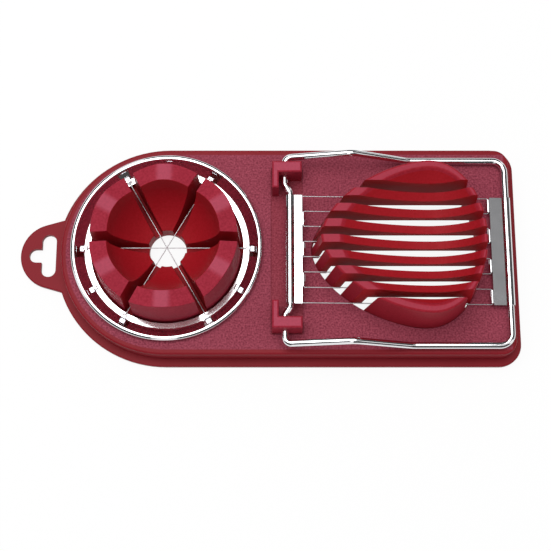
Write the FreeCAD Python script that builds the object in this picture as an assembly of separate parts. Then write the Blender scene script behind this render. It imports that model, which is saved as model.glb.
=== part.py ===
"""Egg slicer and egg wedger on one base, every piece a separate solid, in millimetres.

The axis of the base's round end is at x = 0, y = 0 while the pieces are made. The finished pieces are then
moved so that the origin lies under the middle of the whole tool, on the surface that it stands on.
"""
import FreeCAD, Part
import math
import os

V = FreeCAD.Vector
UP = V(0, 0, 1)

# Base: plate, skirt, lip and hang tab
plate_right = 128.8
plate_corner = 5.5
plate_thickness = 2.2
plate_edge_round = 0.9
base_height = 10.0
skirt_wall = 2.0
skirt_gap = 1.5
lip_width = 3.0
lip_thickness = 2.0
lip_edge_round = 0.5
tab_reach = 56.1
tab_end_radius = 12.6
tab_flare = 16.0
hang_bar_length = 16.5
hang_bar_width = 5.5
hang_bar_inset = 10.7
hang_stub_width = 5.3
hang_tip_margin = 3.3

# Wedge cup: floor, well and petals. Its axis lies off the base's middle line
cup_shift = 1.0
cup_hole_radius = 7.0
cup_floor_bottom = 2.0
cup_floor_thickness = 2.5
well_radius = 33.8
well_wall = 1.6
well_flange_width = 2.2
well_flange_thickness = 1.6
petal_count = 6
petal_top = 27.5
petal_clearance = 0.8
petal_draft = 1.0
petal_rim = 6.2
petal_slot = 2.8
petal_fall = 16.0
petal_wall = 2.2
bowl_centre_above_top = 0.5

# Wedge ring and its wires
rest_gap = 0.3
ring_rim_wire = 2.4
ring_overhang = 1.95
ring_sheet = 0.6
ring_cone_inset = 2.8
ring_lip_width = 2.4
ring_lip_drop = 2.9
ring_tab_width = 2.4
ring_tab_height = 2.2
ring_tab_depth = 1.6
wire_thickness = 0.36
wire_fit = 0.02
wire_stack_gap = 0.05
wire_above_lip = 0.5

# Egg cradle
cradle_centre = 96.0
cradle_nose = 39.2
cradle_tail = 20.2
cradle_half_width = 28.3
cradle_draft_nose = 3.0
cradle_draft_side = 1.4
cradle_top = 30.0
cradle_depth = 10.0
cradle_rim_band = 2.6
bowl_lift = 10.0
cradle_rim_round = 0.9
cradle_wall = 2.4
cradle_rib_drop = 2.0
cradle_cap_wall = 2.2
cradle_nose_shape = 1.7
cradle_flange_width = 3.0
cradle_flange_thickness = 1.6
cradle_fit = 0.15
slice_count = 9
slice_pitch = 5.8
slice_slot = 2.9

# Slicing frame and hinge. The slots, wires and frame lie off the base's middle line
slicer_shift = -1.1
frame_wire = 2.5
pivot_x = 43.9
pivot_rise = 3.6
frame_right_x = 126.5
peak_x = 69.0
peak_rise = 5.6
flat_start_x = 90.0
crank_offset = 1.9
crank_gap = 1.3
crank_run = 3.0
hinge_corner = 2.5
arm_gap = 1.3
frame_corner = 4.5
frame_knee = 6.0
crank_radius = 2.0
end_gap = 0.4
hinge_clearance = 0.06

# Hinge blocks
block_left = 39.2
block_length = 11.0
block_wall = 4.4
block_inner_y = 27.2
block_leg_width = 2.5
block_leg_end = 21.2
block_top = 20.2
block_round = 0.8
pocket_depth = 0.6
pocket_margin = 0.5
tang_length = 6.0
tang_width = 2.4
tang_fit = 0.05

# Combs
comb_sheet = 0.45
comb_margin = 0.1
hinge_comb_reach = 4.4
handle_comb_reach = 6.2
tongue_reach = 1.1
tongue_side_gap = 0.35
turn_radius = 0.6
wire_end_inset = 2.2

# Working allowances: how far a cut runs past a face, when two heights are one, points on an egg curve
past = 1.0
same_height = 1e-4
egg_points = 24

# Derived places
frame_radius = frame_wire / 2
wire_radius = wire_thickness / 2
plate_bottom = base_height - plate_thickness
floor_top = cup_floor_bottom + cup_floor_thickness
flat_z = base_height + rest_gap + comb_sheet + frame_radius
pivot_z = flat_z + pivot_rise
bar_x = pivot_x + crank_offset
plate_width = 2 * (well_radius + well_flange_width + skirt_gap + skirt_wall)
hang_bar_x = hang_bar_inset - tab_reach
hang_stub_reach = tab_reach - hang_tip_margin
ring_outer_radius = well_radius + ring_overhang
ring_lip_outer = well_radius - ring_cone_inset
ring_lip_inner = ring_lip_outer - ring_lip_width
petal_foot_radius = ring_lip_inner - petal_clearance
petal_top_radius = petal_foot_radius - petal_draft
bowl_radius = petal_top_radius - petal_rim
ring_tube = ring_rim_wire / 2
ring_z = base_height + rest_gap + ring_tube
ring_lip_top = ring_z - ring_lip_drop
comb_gap = wire_thickness + 2 * wire_fit
wire_count = slice_count - 1
comb_half_length = (wire_count - 1) / 2 * slice_pitch + wire_radius + comb_margin
crank_start = comb_half_length + crank_gap
crank_end = crank_start + crank_run
frame_half_span = block_inner_y + block_wall + arm_gap + hinge_corner
middle_x = (plate_right + lip_width - tab_reach) / 2


def face_of(edges):
    """Flat face inside a closed chain of edges."""
    return Part.Face(Part.Wire(edges))


def prism(face, bottom, top):
    """Upright solid on a face drawn at z = 0."""
    solid = face.extrude(UP * (top - bottom))
    solid.translate(UP * bottom)
    return solid


def box(x, y, z):
    """Box between two limits on each axis."""
    corner = V(x[0], y[0], z[0])
    return Part.makeBox(x[1] - x[0], y[1] - y[0], z[1] - z[0], corner)


def edges_at(solid, z):
    """Edges of a solid that lie wholly at one height."""
    found = []
    for edge in solid.Edges:
        bounds = edge.BoundBox
        if max(abs(bounds.ZMin - z), abs(bounds.ZMax - z)) < same_height:
            found.append(edge)
    return found


def merge(solids):
    """One solid from several that overlap or share faces."""
    return solids[0].multiFuse(solids[1:]).removeSplitter()


def base_outline(grow):
    """Plate outline grown outward: round left end about the cup's axis, rounded right corners."""
    half = plate_width / 2 + grow
    right = plate_right + grow
    corner = max(plate_corner + grow, 0.5)
    middle = corner * (1 - math.sqrt(0.5))
    points = [
        V(0, half), V(right - corner, half), V(right - middle, half - middle), V(right, half - corner),
        V(right, corner - half), V(right - middle, middle - half), V(right - corner, -half), V(0, -half),
    ]
    return face_of([
        Part.makeLine(points[0], points[1]),
        Part.Arc(points[1], points[2], points[3]).toShape(),
        Part.makeLine(points[3], points[4]),
        Part.Arc(points[4], points[5], points[6]).toShape(),
        Part.makeLine(points[6], points[7]),
        Part.Arc(points[7], V(-half, 0), points[0]).toShape(),
    ])


def tab_outline():
    """Hang tab: a round end with sides that flare toward the base."""
    centre = tab_end_radius - tab_reach
    flare = math.radians(tab_flare)
    touch = V(centre - tab_end_radius * math.sin(flare), tab_end_radius * math.cos(flare))
    root = V(0, touch.y + (0 - touch.x) * math.tan(flare))
    low_touch = V(touch.x, -touch.y)
    low_root = V(root.x, -root.y)
    return face_of([
        Part.makeLine(root, touch),
        Part.Arc(touch, V(-tab_reach, 0), low_touch).toShape(),
        Part.makeLine(low_touch, low_root),
        Part.makeLine(low_root, root),
    ])


def slot_outline(start, end, width):
    """Rounded slot between two centres."""
    along = (end - start).normalize()
    side = V(-along.y, along.x) * (width / 2)
    tip = along * (width / 2)
    return face_of([
        Part.makeLine(start + side, end + side),
        Part.Arc(end + side, end + tip, end - side).toShape(),
        Part.makeLine(end - side, start - side),
        Part.Arc(start - side, start - tip, start + side).toShape(),
    ])


def hang_slot():
    """T-shaped slot for a display hook, through the tab."""
    bar_end = (hang_bar_length - hang_bar_width) / 2
    bar = slot_outline(V(hang_bar_x, -bar_end), V(hang_bar_x, bar_end), hang_bar_width)
    stub_end = hang_stub_width / 2 - hang_stub_reach
    stub = slot_outline(V(stub_end, 0), V(hang_bar_x, 0), hang_stub_width)
    top = lip_thickness + past
    return merge([prism(bar, -past, top), prism(stub, -past, top)])


def egg_edge(grow, grow_nose, z):
    """Closed egg-shaped curve: elliptical tail on the right, sharper nose on the left."""
    points = []
    for step in range(egg_points):
        angle = 2 * math.pi * step / egg_points
        across = math.cos(angle)
        beside = math.sin(angle)
        if across >= 0:
            x = (cradle_tail + grow) * across
            y = (cradle_half_width + grow) * beside
        else:
            power = 2 / cradle_nose_shape
            x = -(cradle_nose + grow_nose) * abs(across) ** power
            y = (cradle_half_width + grow) * math.copysign(abs(beside) ** power, beside)
        points.append(V(cradle_centre + x, y, z))
    curve = Part.BSplineCurve()
    curve.interpolate(Points=points, PeriodicFlag=True)
    return curve.toShape()


def egg_prism(grow, grow_nose, bottom, top):
    """Upright solid on the egg-shaped outline."""
    return prism(face_of([egg_edge(grow, grow_nose, 0)]), bottom, top)


def egg_loft(inset, bottom, top):
    """Drafted egg-shaped block, wider at its foot, inset evenly from the cradle's outside."""
    foot = Part.Wire([egg_edge(cradle_draft_side - inset, cradle_draft_nose - inset, bottom)])
    rim = Part.Wire([egg_edge(-inset, -inset, top)])
    return Part.makeLoft([foot, rim], True, True)


def egg_bowl():
    """Egg-shaped hollow in the cradle: a turned egg above the rim, squashed to reach down to its depth."""
    height = cradle_depth + bowl_lift
    flatness = math.sqrt(height ** 2 - bowl_lift ** 2) / (cradle_half_width - cradle_rim_band)
    grow = height / flatness - cradle_half_width
    blank = face_of([egg_edge(grow, grow, 0)])
    reach = cradle_centre + cradle_nose + cradle_tail + cradle_half_width
    far_half = box((-reach, reach), (0, reach), (-past, past))
    half = blank.common(far_half).Faces[0]
    turned = half.revolve(V(0, 0, 0), V(1, 0, 0), 360)
    squash = FreeCAD.Matrix()
    squash.scale(1, 1, flatness)
    solid = Part.Solid(turned.Shells[0]).transformGeometry(squash)
    solid.translate(UP * (cradle_top + bowl_lift))
    return solid


def slot_places():
    """Places of the slicing wires across the frame, from near to far."""
    return [(i - (wire_count - 1) / 2) * slice_pitch for i in range(wire_count)]


def on_cup_axis(solid):
    """Moves a piece of the wedger, made about the round end's axis, to the cup's own axis."""
    solid.translate(V(0, cup_shift, 0))
    return solid


def base_shell():
    """Tray with its plate, skirt, lip and hang tab, open below and pierced for the pieces that it carries."""
    block = prism(base_outline(0), 0, base_height)
    block = block.makeFillet(plate_edge_round, edges_at(block, base_height))
    lip = merge([prism(base_outline(lip_width), 0, lip_thickness), prism(tab_outline(), 0, lip_thickness)])
    lip = lip.makeFillet(lip_edge_round, edges_at(lip, lip_thickness))
    shell = merge([block, lip])
    cuts = [prism(base_outline(-skirt_wall), -past, plate_bottom), hang_slot()]
    cuts.append(on_cup_axis(Part.makeCylinder(well_radius, 2 * base_height)))
    cuts.append(egg_prism(cradle_draft_side + cradle_fit, cradle_draft_nose + cradle_fit, 0, 2 * base_height))
    cuts.append(hinge_pocket())
    for side in (1, -1):
        cuts.append(tang(side, tang_fit, 0))
    return shell.cut(cuts)


def hinge_pocket():
    """Shallow recess of the plate that seats the hinge blocks."""
    reach = block_inner_y + block_wall + pocket_margin
    right = block_left + block_length + pocket_margin
    x = (block_left - pocket_margin, right)
    return box(x, (-reach, reach), (base_height - pocket_depth, base_height + past))


def tang(side, grow, bottom):
    """Tang under a hinge block's cross wall, or its hole in the plate."""
    x = block_left + block_length / 2
    y = side * (block_inner_y + block_wall / 2)
    half_length = tang_length / 2 + grow
    half_width = tang_width / 2 + grow
    top = base_height
    return box((x - half_length, x + half_length), (y - half_width, y + half_width), (bottom, top))


def hinge_block(side):
    """L-shaped bearing block: a cross wall with the bore, and a leg that stops the opened frame."""
    seat = base_height - pocket_depth
    outer_y = block_inner_y + block_wall
    wall = box((block_left, block_left + block_length), (block_inner_y, outer_y), (seat, block_top))
    leg = box((block_left, block_left + block_leg_width), (block_leg_end, outer_y), (seat, block_top))
    block = merge([wall, leg])
    block = block.makeFillet(block_round, edges_at(block, block_top))
    bore_start = V(pivot_x, block_inner_y - past, pivot_z)
    bore = Part.makeCylinder(frame_radius + hinge_clearance, block_wall + 2 * past, bore_start, V(0, 1, 0))
    block = block.cut(bore)
    if side < 0:
        block = block.mirror(V(0, 0, 0), V(0, 1, 0))
    return merge([block, tang(side, 0, plate_bottom)])


def egg_cradle():
    """Slotted egg bowl: a drafted wall round flat-bottomed ribs, and closed caps, on one flange."""
    flange_bottom = plate_bottom - cradle_flange_thickness
    outside = egg_loft(0, base_height, cradle_top)
    outside = outside.makeFillet(cradle_rim_round, edges_at(outside, cradle_top))
    stem = egg_prism(cradle_draft_side, cradle_draft_nose, flange_bottom, base_height)
    flange_grow = cradle_draft_side + cradle_flange_width
    flange = egg_prism(flange_grow, cradle_draft_nose + cradle_flange_width, flange_bottom, plate_bottom)
    body = outside.fuse([stem, flange])
    inner_stem = egg_prism(cradle_draft_side - cradle_wall, cradle_draft_nose - cradle_wall, 0, base_height)
    body = body.cut([egg_loft(cradle_wall, base_height, cradle_top), inner_stem])
    reach = (cradle_centre - 2 * cradle_nose, cradle_centre + 2 * cradle_nose)
    wide = 2 * cradle_half_width
    rib_bottom = cradle_top - cradle_depth - cradle_rib_drop
    fillings = [outside.common(box(reach, (-wide, wide), (rib_bottom, 2 * cradle_top)))]
    places = [place + slicer_shift for place in slot_places()]
    far_face = places[-1] + slice_slot / 2
    near_face = places[0] - slice_slot / 2
    for y in ((far_face, far_face + cradle_cap_wall), (near_face - cradle_cap_wall, near_face)):
        wall = box(reach, y, (flange_bottom, 2 * cradle_top))
        fillings += [outside.common(wall), stem.common(wall)]
    body = body.fuse(fillings).cut(egg_bowl())
    column = egg_prism(cradle_draft_side, cradle_draft_nose, 0, 2 * cradle_top)
    slots = []
    for y in places:
        slot = box(reach, (y - slice_slot / 2, y + slice_slot / 2), (-past, 2 * cradle_top))
        slots.append(slot.common(column))
    return body.cut(slots)


def petal(inset, bottom):
    """One petal about +X, or its core: a drafted block with a bowl face and two falling top facets."""
    fall = math.radians(petal_fall)
    top = petal_top - inset / math.cos(fall)
    draft = (petal_foot_radius - petal_top_radius) / (petal_top - floor_top)
    foot_radius = petal_foot_radius - inset + draft * (floor_top - bottom)
    top_radius = petal_top_radius - inset + draft * (petal_top - top)
    blank = Part.makeCone(foot_radius, top_radius, top - bottom, V(0, 0, bottom))
    half_angle = math.pi / petal_count
    reach = 2 * petal_foot_radius
    gap = (petal_slot / 2 + inset) / math.sin(half_angle)
    start = V(gap, 0, 0)
    far = V(gap + reach * math.cos(half_angle), reach * math.sin(half_angle))
    low_far = V(far.x, -far.y, 0)
    wedge = Part.Face(Part.makePolygon([start, low_far, far, start]))
    blank = blank.common(prism(wedge, bottom, petal_top))
    for side in (1, -1):
        facet = box((-reach, reach), (min(side, 0) * reach, max(side, 0) * reach), (0, reach))
        facet.rotate(V(0, 0, 0), V(1, 0, 0), -side * petal_fall)
        facet.translate(UP * top)
        blank = blank.cut(facet)
    bowl = Part.makeSphere(bowl_radius + inset, V(0, 0, petal_top + bowl_centre_above_top))
    hole_start = V(0, 0, bottom - past)
    hole = Part.makeCylinder(cup_hole_radius + inset, 2 * petal_top, hole_start)
    return blank.cut([bowl, hole])


def wedge_cup():
    """Upright egg cup: petals cored from below on a floor, inside a well that hangs from the plate."""
    outer = well_radius + well_wall
    floor = Part.makeCylinder(outer, cup_floor_thickness, V(0, 0, cup_floor_bottom))
    wall = Part.makeCylinder(outer, plate_bottom - cup_floor_bottom, V(0, 0, cup_floor_bottom))
    wall = wall.cut(Part.makeCylinder(well_radius, 2 * base_height, V(0, 0, 0)))
    flange_start = V(0, 0, plate_bottom - well_flange_thickness)
    flange = Part.makeCylinder(well_radius + well_flange_width, well_flange_thickness, flange_start)
    flange = flange.cut(Part.makeCylinder(well_radius, 2 * base_height))
    pieces = [floor, wall, flange]
    cuts = [Part.makeCylinder(cup_hole_radius, 2 * petal_top)]
    outside = petal(0, floor_top)
    core = petal(petal_wall, cup_floor_bottom - past)
    for i in range(petal_count):
        for solid, group in ((outside, pieces), (core, cuts)):
            turned = solid.copy()
            turned.rotate(V(0, 0, 0), UP, (i + 0.5) * 360 / petal_count)
            group.append(turned)
    return merge(pieces).cut(cuts)


def wedge_ring():
    """Pressed ring: a rolled rim, a cone that falls inward and a flat lip with tabs for the wires."""
    rim_radius = ring_outer_radius - ring_tube
    rim = Part.makeTorus(rim_radius, ring_tube, V(0, 0, ring_z))
    shift = ring_sheet * math.sqrt(0.5)
    cone_top = ring_lip_outer + ring_lip_drop
    lip_bottom = ring_lip_top - ring_sheet
    section = Part.makePolygon([
        V(ring_lip_inner, 0, ring_lip_top),
        V(ring_lip_outer, 0, ring_lip_top),
        V(cone_top, 0, ring_z),
        V(cone_top + shift, 0, ring_z - shift),
        V(ring_lip_outer + ring_sheet / 2, 0, lip_bottom),
        V(ring_lip_inner, 0, lip_bottom),
        V(ring_lip_inner, 0, ring_lip_top),
    ])
    pieces = [rim, Part.Face(section).revolve(V(0, 0, 0), UP, 360)]
    angles = [i * 360 / petal_count for i in range(petal_count)]
    angles += [(4 * i + 3) * 180 / petal_count for i in range(petal_count // 2)]
    for angle in angles:
        tab_x = (ring_lip_outer - ring_tab_depth, ring_lip_outer)
        tab_y = (-ring_tab_width / 2, ring_tab_width / 2)
        tab_z = (ring_lip_top - ring_sheet / 2, ring_lip_top + ring_tab_height)
        tab = box(tab_x, tab_y, tab_z)
        tab.rotate(V(0, 0, 0), UP, angle)
        pieces.append(tab)
    ring = merge(pieces)
    return ring.cut([wedge_wire(i, wire_radius + wire_fit) for i in range(petal_count // 2)])


def wedge_wire(index, radius):
    """One of the wires across the ring, stacked so that they pass one another at the middle."""
    reach = ring_lip_outer
    z = ring_lip_top + wire_above_lip + index * (wire_thickness + wire_stack_gap)
    wire = Part.makeCylinder(radius, 2 * reach, V(-reach, 0, z), V(1, 0, 0))
    wire.rotate(V(0, 0, 0), UP, index * 360 / petal_count)
    return wire


def rounded_path(points, radii):
    """Chain of straight runs through the points, with a tangent arc of its own radius at each inner point."""
    edges = []
    start = points[0]
    for i in range(1, len(points) - 1):
        back = (points[i - 1] - points[i]).normalize()
        ahead = (points[i + 1] - points[i]).normalize()
        half = back.getAngle(ahead) / 2
        cut = radii[i - 1] / math.tan(half)
        middle = (back + ahead).normalize() * (radii[i - 1] / math.sin(half))
        top = middle - (back + ahead).normalize() * radii[i - 1]
        first = points[i] + back * cut
        last = points[i] + ahead * cut
        edges.append(Part.makeLine(start, first))
        edges.append(Part.Arc(first, points[i] + top, last).toShape())
        start = last
    edges.append(Part.makeLine(start, points[-1]))
    return Part.Wire(edges)


def tube(path, radius):
    """Round wire along a path."""
    first = path.Edges[0]
    start = first.valueAt(first.FirstParameter)
    along = first.tangentAt(first.FirstParameter)
    profile = Part.Wire([Part.Circle(start, along, radius).toShape()])
    return path.makePipeShell([profile], True, False)


def slicing_frame():
    """Bent wire frame: a cranked bar at the hinge, two raised arms and the bar at the free end."""
    far = [
        V(bar_x, end_gap / 2, pivot_z), V(bar_x, crank_start, pivot_z), V(pivot_x, crank_end, pivot_z),
        V(pivot_x, frame_half_span, pivot_z), V(peak_x, frame_half_span, pivot_z + peak_rise),
        V(flat_start_x, frame_half_span, flat_z), V(frame_right_x, frame_half_span, flat_z),
    ]
    near = [V(p.x, -p.y, p.z) for p in reversed(far)]
    radii = [crank_radius, crank_radius, hinge_corner, frame_knee, frame_knee, frame_corner]
    frame = tube(rounded_path(far + near, radii + radii[::-1]), frame_radius)
    frame.translate(V(0, slicer_shift, 0))
    return frame


def place_in_wire_plane(solid):
    """Moves a piece drawn about the hinge bar, with the wires along +X, into the plane of the two bars."""
    tilt = math.degrees(math.atan2(pivot_z - flat_z, frame_right_x - bar_x))
    solid.rotate(V(0, 0, 0), V(0, 1, 0), tilt)
    solid.translate(V(bar_x, slicer_shift, pivot_z))
    return solid


def bar_spacing():
    """Distance between the two bars of the frame, along the wires."""
    return math.hypot(frame_right_x - bar_x, pivot_z - flat_z)


def comb(reach, tongues):
    """Folded sheet about a bar at the origin: two leaves along +X, closed at the tongues."""
    y = (-comb_half_length, comb_half_length)
    leaf = comb_gap / 2 + comb_sheet
    sleeve_radius = frame_radius + comb_sheet
    sleeve = Part.makeCylinder(sleeve_radius, 2 * comb_half_length, V(0, y[0], 0), V(0, 1, 0))
    pieces = [sleeve, box((0, reach), y, (-leaf, leaf))]
    half_tongue = (slice_pitch - wire_thickness) / 2 - tongue_side_gap
    tip = reach + tongue_reach
    for place in tongues:
        side = (place - half_tongue, place + half_tongue)
        flat = box((reach / 2, tip - leaf), side, (-leaf, leaf))
        fold = Part.makeCylinder(leaf, 2 * half_tongue, V(tip - leaf, side[0], 0), V(0, 1, 0))
        pieces += [flat, fold]
    sheet = merge(pieces)
    end = comb_half_length + past
    bore = Part.makeCylinder(frame_radius + wire_fit, 2 * end, V(0, -end, 0), V(0, 1, 0))
    gap = box((0, tip - comb_sheet), (-end, end), (-comb_gap / 2, comb_gap / 2))
    return sheet.cut([bore, gap])


def pair_places(first):
    """Places midway between neighbouring wires, every second pair."""
    wires = slot_places()
    return [(wires[i] + wires[i + 1]) / 2 for i in range(first, len(wires) - 1, 2)]


def hinge_comb():
    """Comb on the bar beside the hinge."""
    return place_in_wire_plane(comb(hinge_comb_reach, pair_places(1)))


def handle_comb():
    """Comb on the bar at the free end."""
    sheet = comb(handle_comb_reach, pair_places(0))
    sheet.rotate(V(0, 0, 0), UP, 180)
    sheet.translate(V(bar_spacing(), 0, 0))
    return place_in_wire_plane(sheet)


def slicing_wire():
    """One thin wire, strung back and forth between the tongues of the two combs."""
    inset = tongue_reach - comb_sheet - wire_radius - wire_fit
    left_turn = hinge_comb_reach + inset
    right_turn = bar_spacing() - handle_comb_reach - inset
    points = []
    for i, y in enumerate(slot_places()):
        span = [V(left_turn, y, 0), V(right_turn, y, 0)]
        points += span if i % 2 == 0 else span[::-1]
    points[0].x = wire_end_inset
    points[-1].x = wire_end_inset if wire_count % 2 == 0 else bar_spacing() - wire_end_inset
    path = rounded_path(points, [turn_radius] * (len(points) - 2))
    return place_in_wire_plane(tube(path, wire_radius))


def pieces():
    """All pieces by name."""
    found = {
        "base_shell": base_shell(),
        "egg_cradle": egg_cradle(),
        "wedge_cup": on_cup_axis(wedge_cup()),
        "hinge_block_far": hinge_block(1),
        "hinge_block_near": hinge_block(-1),
        "slicing_frame": slicing_frame(),
        "hinge_comb": hinge_comb(),
        "handle_comb": handle_comb(),
        "slicing_wire": slicing_wire(),
        "wedge_ring": on_cup_axis(wedge_ring()),
    }
    for i in range(petal_count // 2):
        found["wedge_wire_%d" % (i + 1)] = on_cup_axis(wedge_wire(i, wire_radius))
    return found


os.makedirs("parts", exist_ok=True)
for name, solid in pieces().items():
    solid.translate(V(-middle_x, 0, 0))
    solid.exportStep("parts/%s.step" % name)
    print(name, solid.isValid(), len(solid.Solids), round(solid.Volume, 2))
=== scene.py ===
# %% [markdown]
# # An egg slicer with an egg wedger
# The tool is one moulded base with two cutters on it. A hinged wire frame slices an egg that lies in
# a slotted cradle, and a loose ring with crossed wires splits an egg that stands in a cup of petals.
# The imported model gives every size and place, so this lesson only adds what plain solids lack: soft
# moulded edges, pressed metal, grain and polish. Pieces are drawn in millimetres and scaled to metres
# when they are done. The studio round them is in metres.

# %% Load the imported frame
import math
import bmesh
import bpy
from mathutils import Matrix, Vector


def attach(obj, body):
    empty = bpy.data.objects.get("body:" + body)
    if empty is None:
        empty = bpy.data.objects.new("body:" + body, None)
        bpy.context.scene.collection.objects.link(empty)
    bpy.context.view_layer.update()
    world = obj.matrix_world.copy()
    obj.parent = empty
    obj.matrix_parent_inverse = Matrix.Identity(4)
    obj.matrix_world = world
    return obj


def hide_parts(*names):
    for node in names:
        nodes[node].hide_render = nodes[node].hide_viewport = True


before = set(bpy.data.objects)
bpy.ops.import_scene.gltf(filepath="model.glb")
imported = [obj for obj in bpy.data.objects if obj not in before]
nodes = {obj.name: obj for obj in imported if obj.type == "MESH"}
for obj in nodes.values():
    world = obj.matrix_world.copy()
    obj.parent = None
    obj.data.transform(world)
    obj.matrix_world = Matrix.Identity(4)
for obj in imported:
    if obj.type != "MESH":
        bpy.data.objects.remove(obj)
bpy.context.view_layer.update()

scene = bpy.context.scene
scene.view_settings.view_transform = "Standard"
MM = 0.001

# %% [markdown]
# ## Helpers for meshes and materials
# A shape is built in a bmesh, which is a mesh in memory, and becomes an object at the end. A material
# is a small tree of nodes. Nodes could be placed and linked one line at a time, but helpers that add
# one with its inputs let the materials below read like formulas.

# %% Mesh and node helpers
MIX_SHARE, MIX_FIRST, MIX_SECOND, MIX_RESULT = 0, 6, 7, 2


def finish_mesh(name, bm):
    """Turns a bmesh into an object at the origin, with its place in its mesh."""
    mesh = bpy.data.meshes.new(name)
    bm.to_mesh(mesh)
    bm.free()
    made = bpy.data.objects.new(name, mesh)
    scene.collection.objects.link(made)
    return made


def feed(tree, target, value):
    """Gives an input a link, where the value is a socket, or else the value itself."""
    if isinstance(value, bpy.types.NodeSocket):
        tree.links.new(value, target)
    else:
        target.default_value = value


def add_node(tree, kind, **sockets):
    """Adds a node and feeds its inputs by name, or by number as i0, i1 and so on."""
    node = tree.nodes.new(kind)
    for label, value in sockets.items():
        number = label[1:]
        key = int(number) if number.isdigit() else label.replace("_", " ")
        feed(tree, node.inputs[key], value)
    return node


def calculate(tree, operation, first, second=0.0):
    """One Math node's result."""
    node = add_node(tree, "ShaderNodeMath", i0=first, i1=second)
    node.operation = operation
    return node.outputs[0]


def map_range(tree, value, start=0.0, end=1.0, low=0.0, high=1.0):
    """A value's place between start and end, as a value between low and high."""
    ranges = {"From_Min": start, "From_Max": end, "To_Min": low, "To_Max": high}
    return add_node(tree, "ShaderNodeMapRange", Value=value, **ranges).outputs[0]


def blend_colours(tree, share, first, second):
    """Colour between two colours."""
    node = tree.nodes.new("ShaderNodeMix")
    node.data_type = "RGBA"
    for index, value in ((MIX_SHARE, share), (MIX_FIRST, first), (MIX_SECOND, second)):
        feed(tree, node.inputs[index], value)
    return node.outputs[MIX_RESULT]


print("helpers ready in Blender", bpy.app.version_string)

# %% [markdown]
# ## The table
# The tool lies on a plain white table. Matte white under soft light looks grey in the shade, so it is
# mixed with a plain white, which gives no light and is there only for rays that look at the table:
# from the camera, by a mirror or through glass. A little of the matte white stays, and with it a soft
# shadow.

# %% Table
TABLE_SIZE = 3.0
TABLE_GAP = 0.0001
TABLE_WHITE = (0.93, 0.93, 0.93, 1)
TABLE_GLOW = 0.9


def looked_at(tree):
    """1 for rays from the camera, from mirrors and through glass, and 0 for all others."""
    path = tree.nodes.new("ShaderNodeLightPath")
    mirrored = calculate(tree, "MAXIMUM", path.outputs["Is Camera Ray"], path.outputs["Is Glossy Ray"])
    return calculate(tree, "MAXIMUM", mirrored, path.outputs["Is Transmission Ray"])


def white_table():
    """Matte white that keeps shadows, mixed with a plain white for rays that look at it."""
    made = bpy.data.materials.new("white_table")
    made.use_nodes = True
    tree = made.node_tree
    tree.nodes.clear()
    matte = add_node(tree, "ShaderNodeBsdfDiffuse", Color=TABLE_WHITE)
    glow = tree.nodes.new("ShaderNodeEmission")
    share = calculate(tree, "MULTIPLY", looked_at(tree), TABLE_GLOW)
    mix = add_node(tree, "ShaderNodeMixShader", i0=share, i1=matte.outputs[0], i2=glow.outputs[0])
    add_node(tree, "ShaderNodeOutputMaterial", Surface=mix.outputs[0])
    return made


table_bm = bmesh.new()
bmesh.ops.create_grid(table_bm, x_segments=1, y_segments=1, size=TABLE_SIZE)
bmesh.ops.translate(table_bm, verts=table_bm.verts, vec=(0, 0, -TABLE_GAP))
table = finish_mesh("table", table_bm)
table.data.materials.append(white_table())
print("table:", [round(side, 1) for side in table.dimensions], "m")

# %% [markdown]
# ## Sky and lamp
# One large soft lamp hangs over the far left. The lamp and a dim sky together give about as much light
# as makes a colour look the way it is written. The sky is plain white for the same rays as the table,
# so that the background is white without more light on the tool.

# %% Sky and lamp
SKY_LEVEL = 0.5
LAMP_PLACE = Vector((-0.12, 0.12, 0.85))
LAMP_SIZE = 0.7
LAMP_POWER = 5.4
sky = bpy.data.worlds.new("white_sky")
scene.world = sky
sky.use_nodes = True
backdrop = sky.node_tree.nodes["Background"]
backdrop.inputs["Color"].default_value = (1, 1, 1, 1)
sky_strength = map_range(sky.node_tree, looked_at(sky.node_tree), low=SKY_LEVEL)
feed(sky.node_tree, backdrop.inputs["Strength"], sky_strength)

lamp_data = bpy.data.lights.new("soft_lamp", "AREA")
lamp_data.size = LAMP_SIZE
lamp_data.energy = LAMP_POWER
lamp = bpy.data.objects.new("soft_lamp", lamp_data)
lamp.location = LAMP_PLACE
lamp.rotation_euler = (-LAMP_PLACE).to_track_quat("-Z", "Y").to_euler()
scene.collection.objects.link(lamp)
print("lamp:", LAMP_POWER, "W, sky:", SKY_LEVEL)

# %% [markdown]
# ## Dark cards for the metal
# Polished metal in an all-white room looks flat. A photographer stands dark cards round it, so that
# it shows lines between dark and bright. Here five cards stand in a circle and a grey one hangs beside
# the lamp. Only mirrors see them, so they take no light from the tool and throw no shadow.

# %% Dark cards
CARD_CIRCLE = 1.2
CARD_HEIGHT = 1.9
CARD_WIDTH = math.radians(56)
CARD_TURNS = [math.radians(degrees) for degrees in (15, 80, 150, 225, 300)]
DARK_LEVEL = 0.07
HANGING_LEFT, HANGING_RIGHT = 0.235, 0.6
HANGING_NEAR, HANGING_FAR = -0.1, 0.6
HANGING_HEIGHT = 0.85
GREY_LEVEL = 0.27


def standing_card(turn):
    """Corners of a card that stands on the table and faces the tool."""
    ends = [turn - CARD_WIDTH / 2, turn + CARD_WIDTH / 2]
    feet = [Vector((math.cos(end), math.sin(end), 0)) * CARD_CIRCLE for end in ends]
    heads = [foot + Vector((0, 0, CARD_HEIGHT)) for foot in reversed(feet)]
    return feet + heads


def hanging_card():
    """Corners of the level card beside the lamp."""
    near = [(x, HANGING_NEAR, HANGING_HEIGHT) for x in (HANGING_LEFT, HANGING_RIGHT)]
    far = [(x, HANGING_FAR, HANGING_HEIGHT) for x in (HANGING_RIGHT, HANGING_LEFT)]
    return near + far


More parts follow.
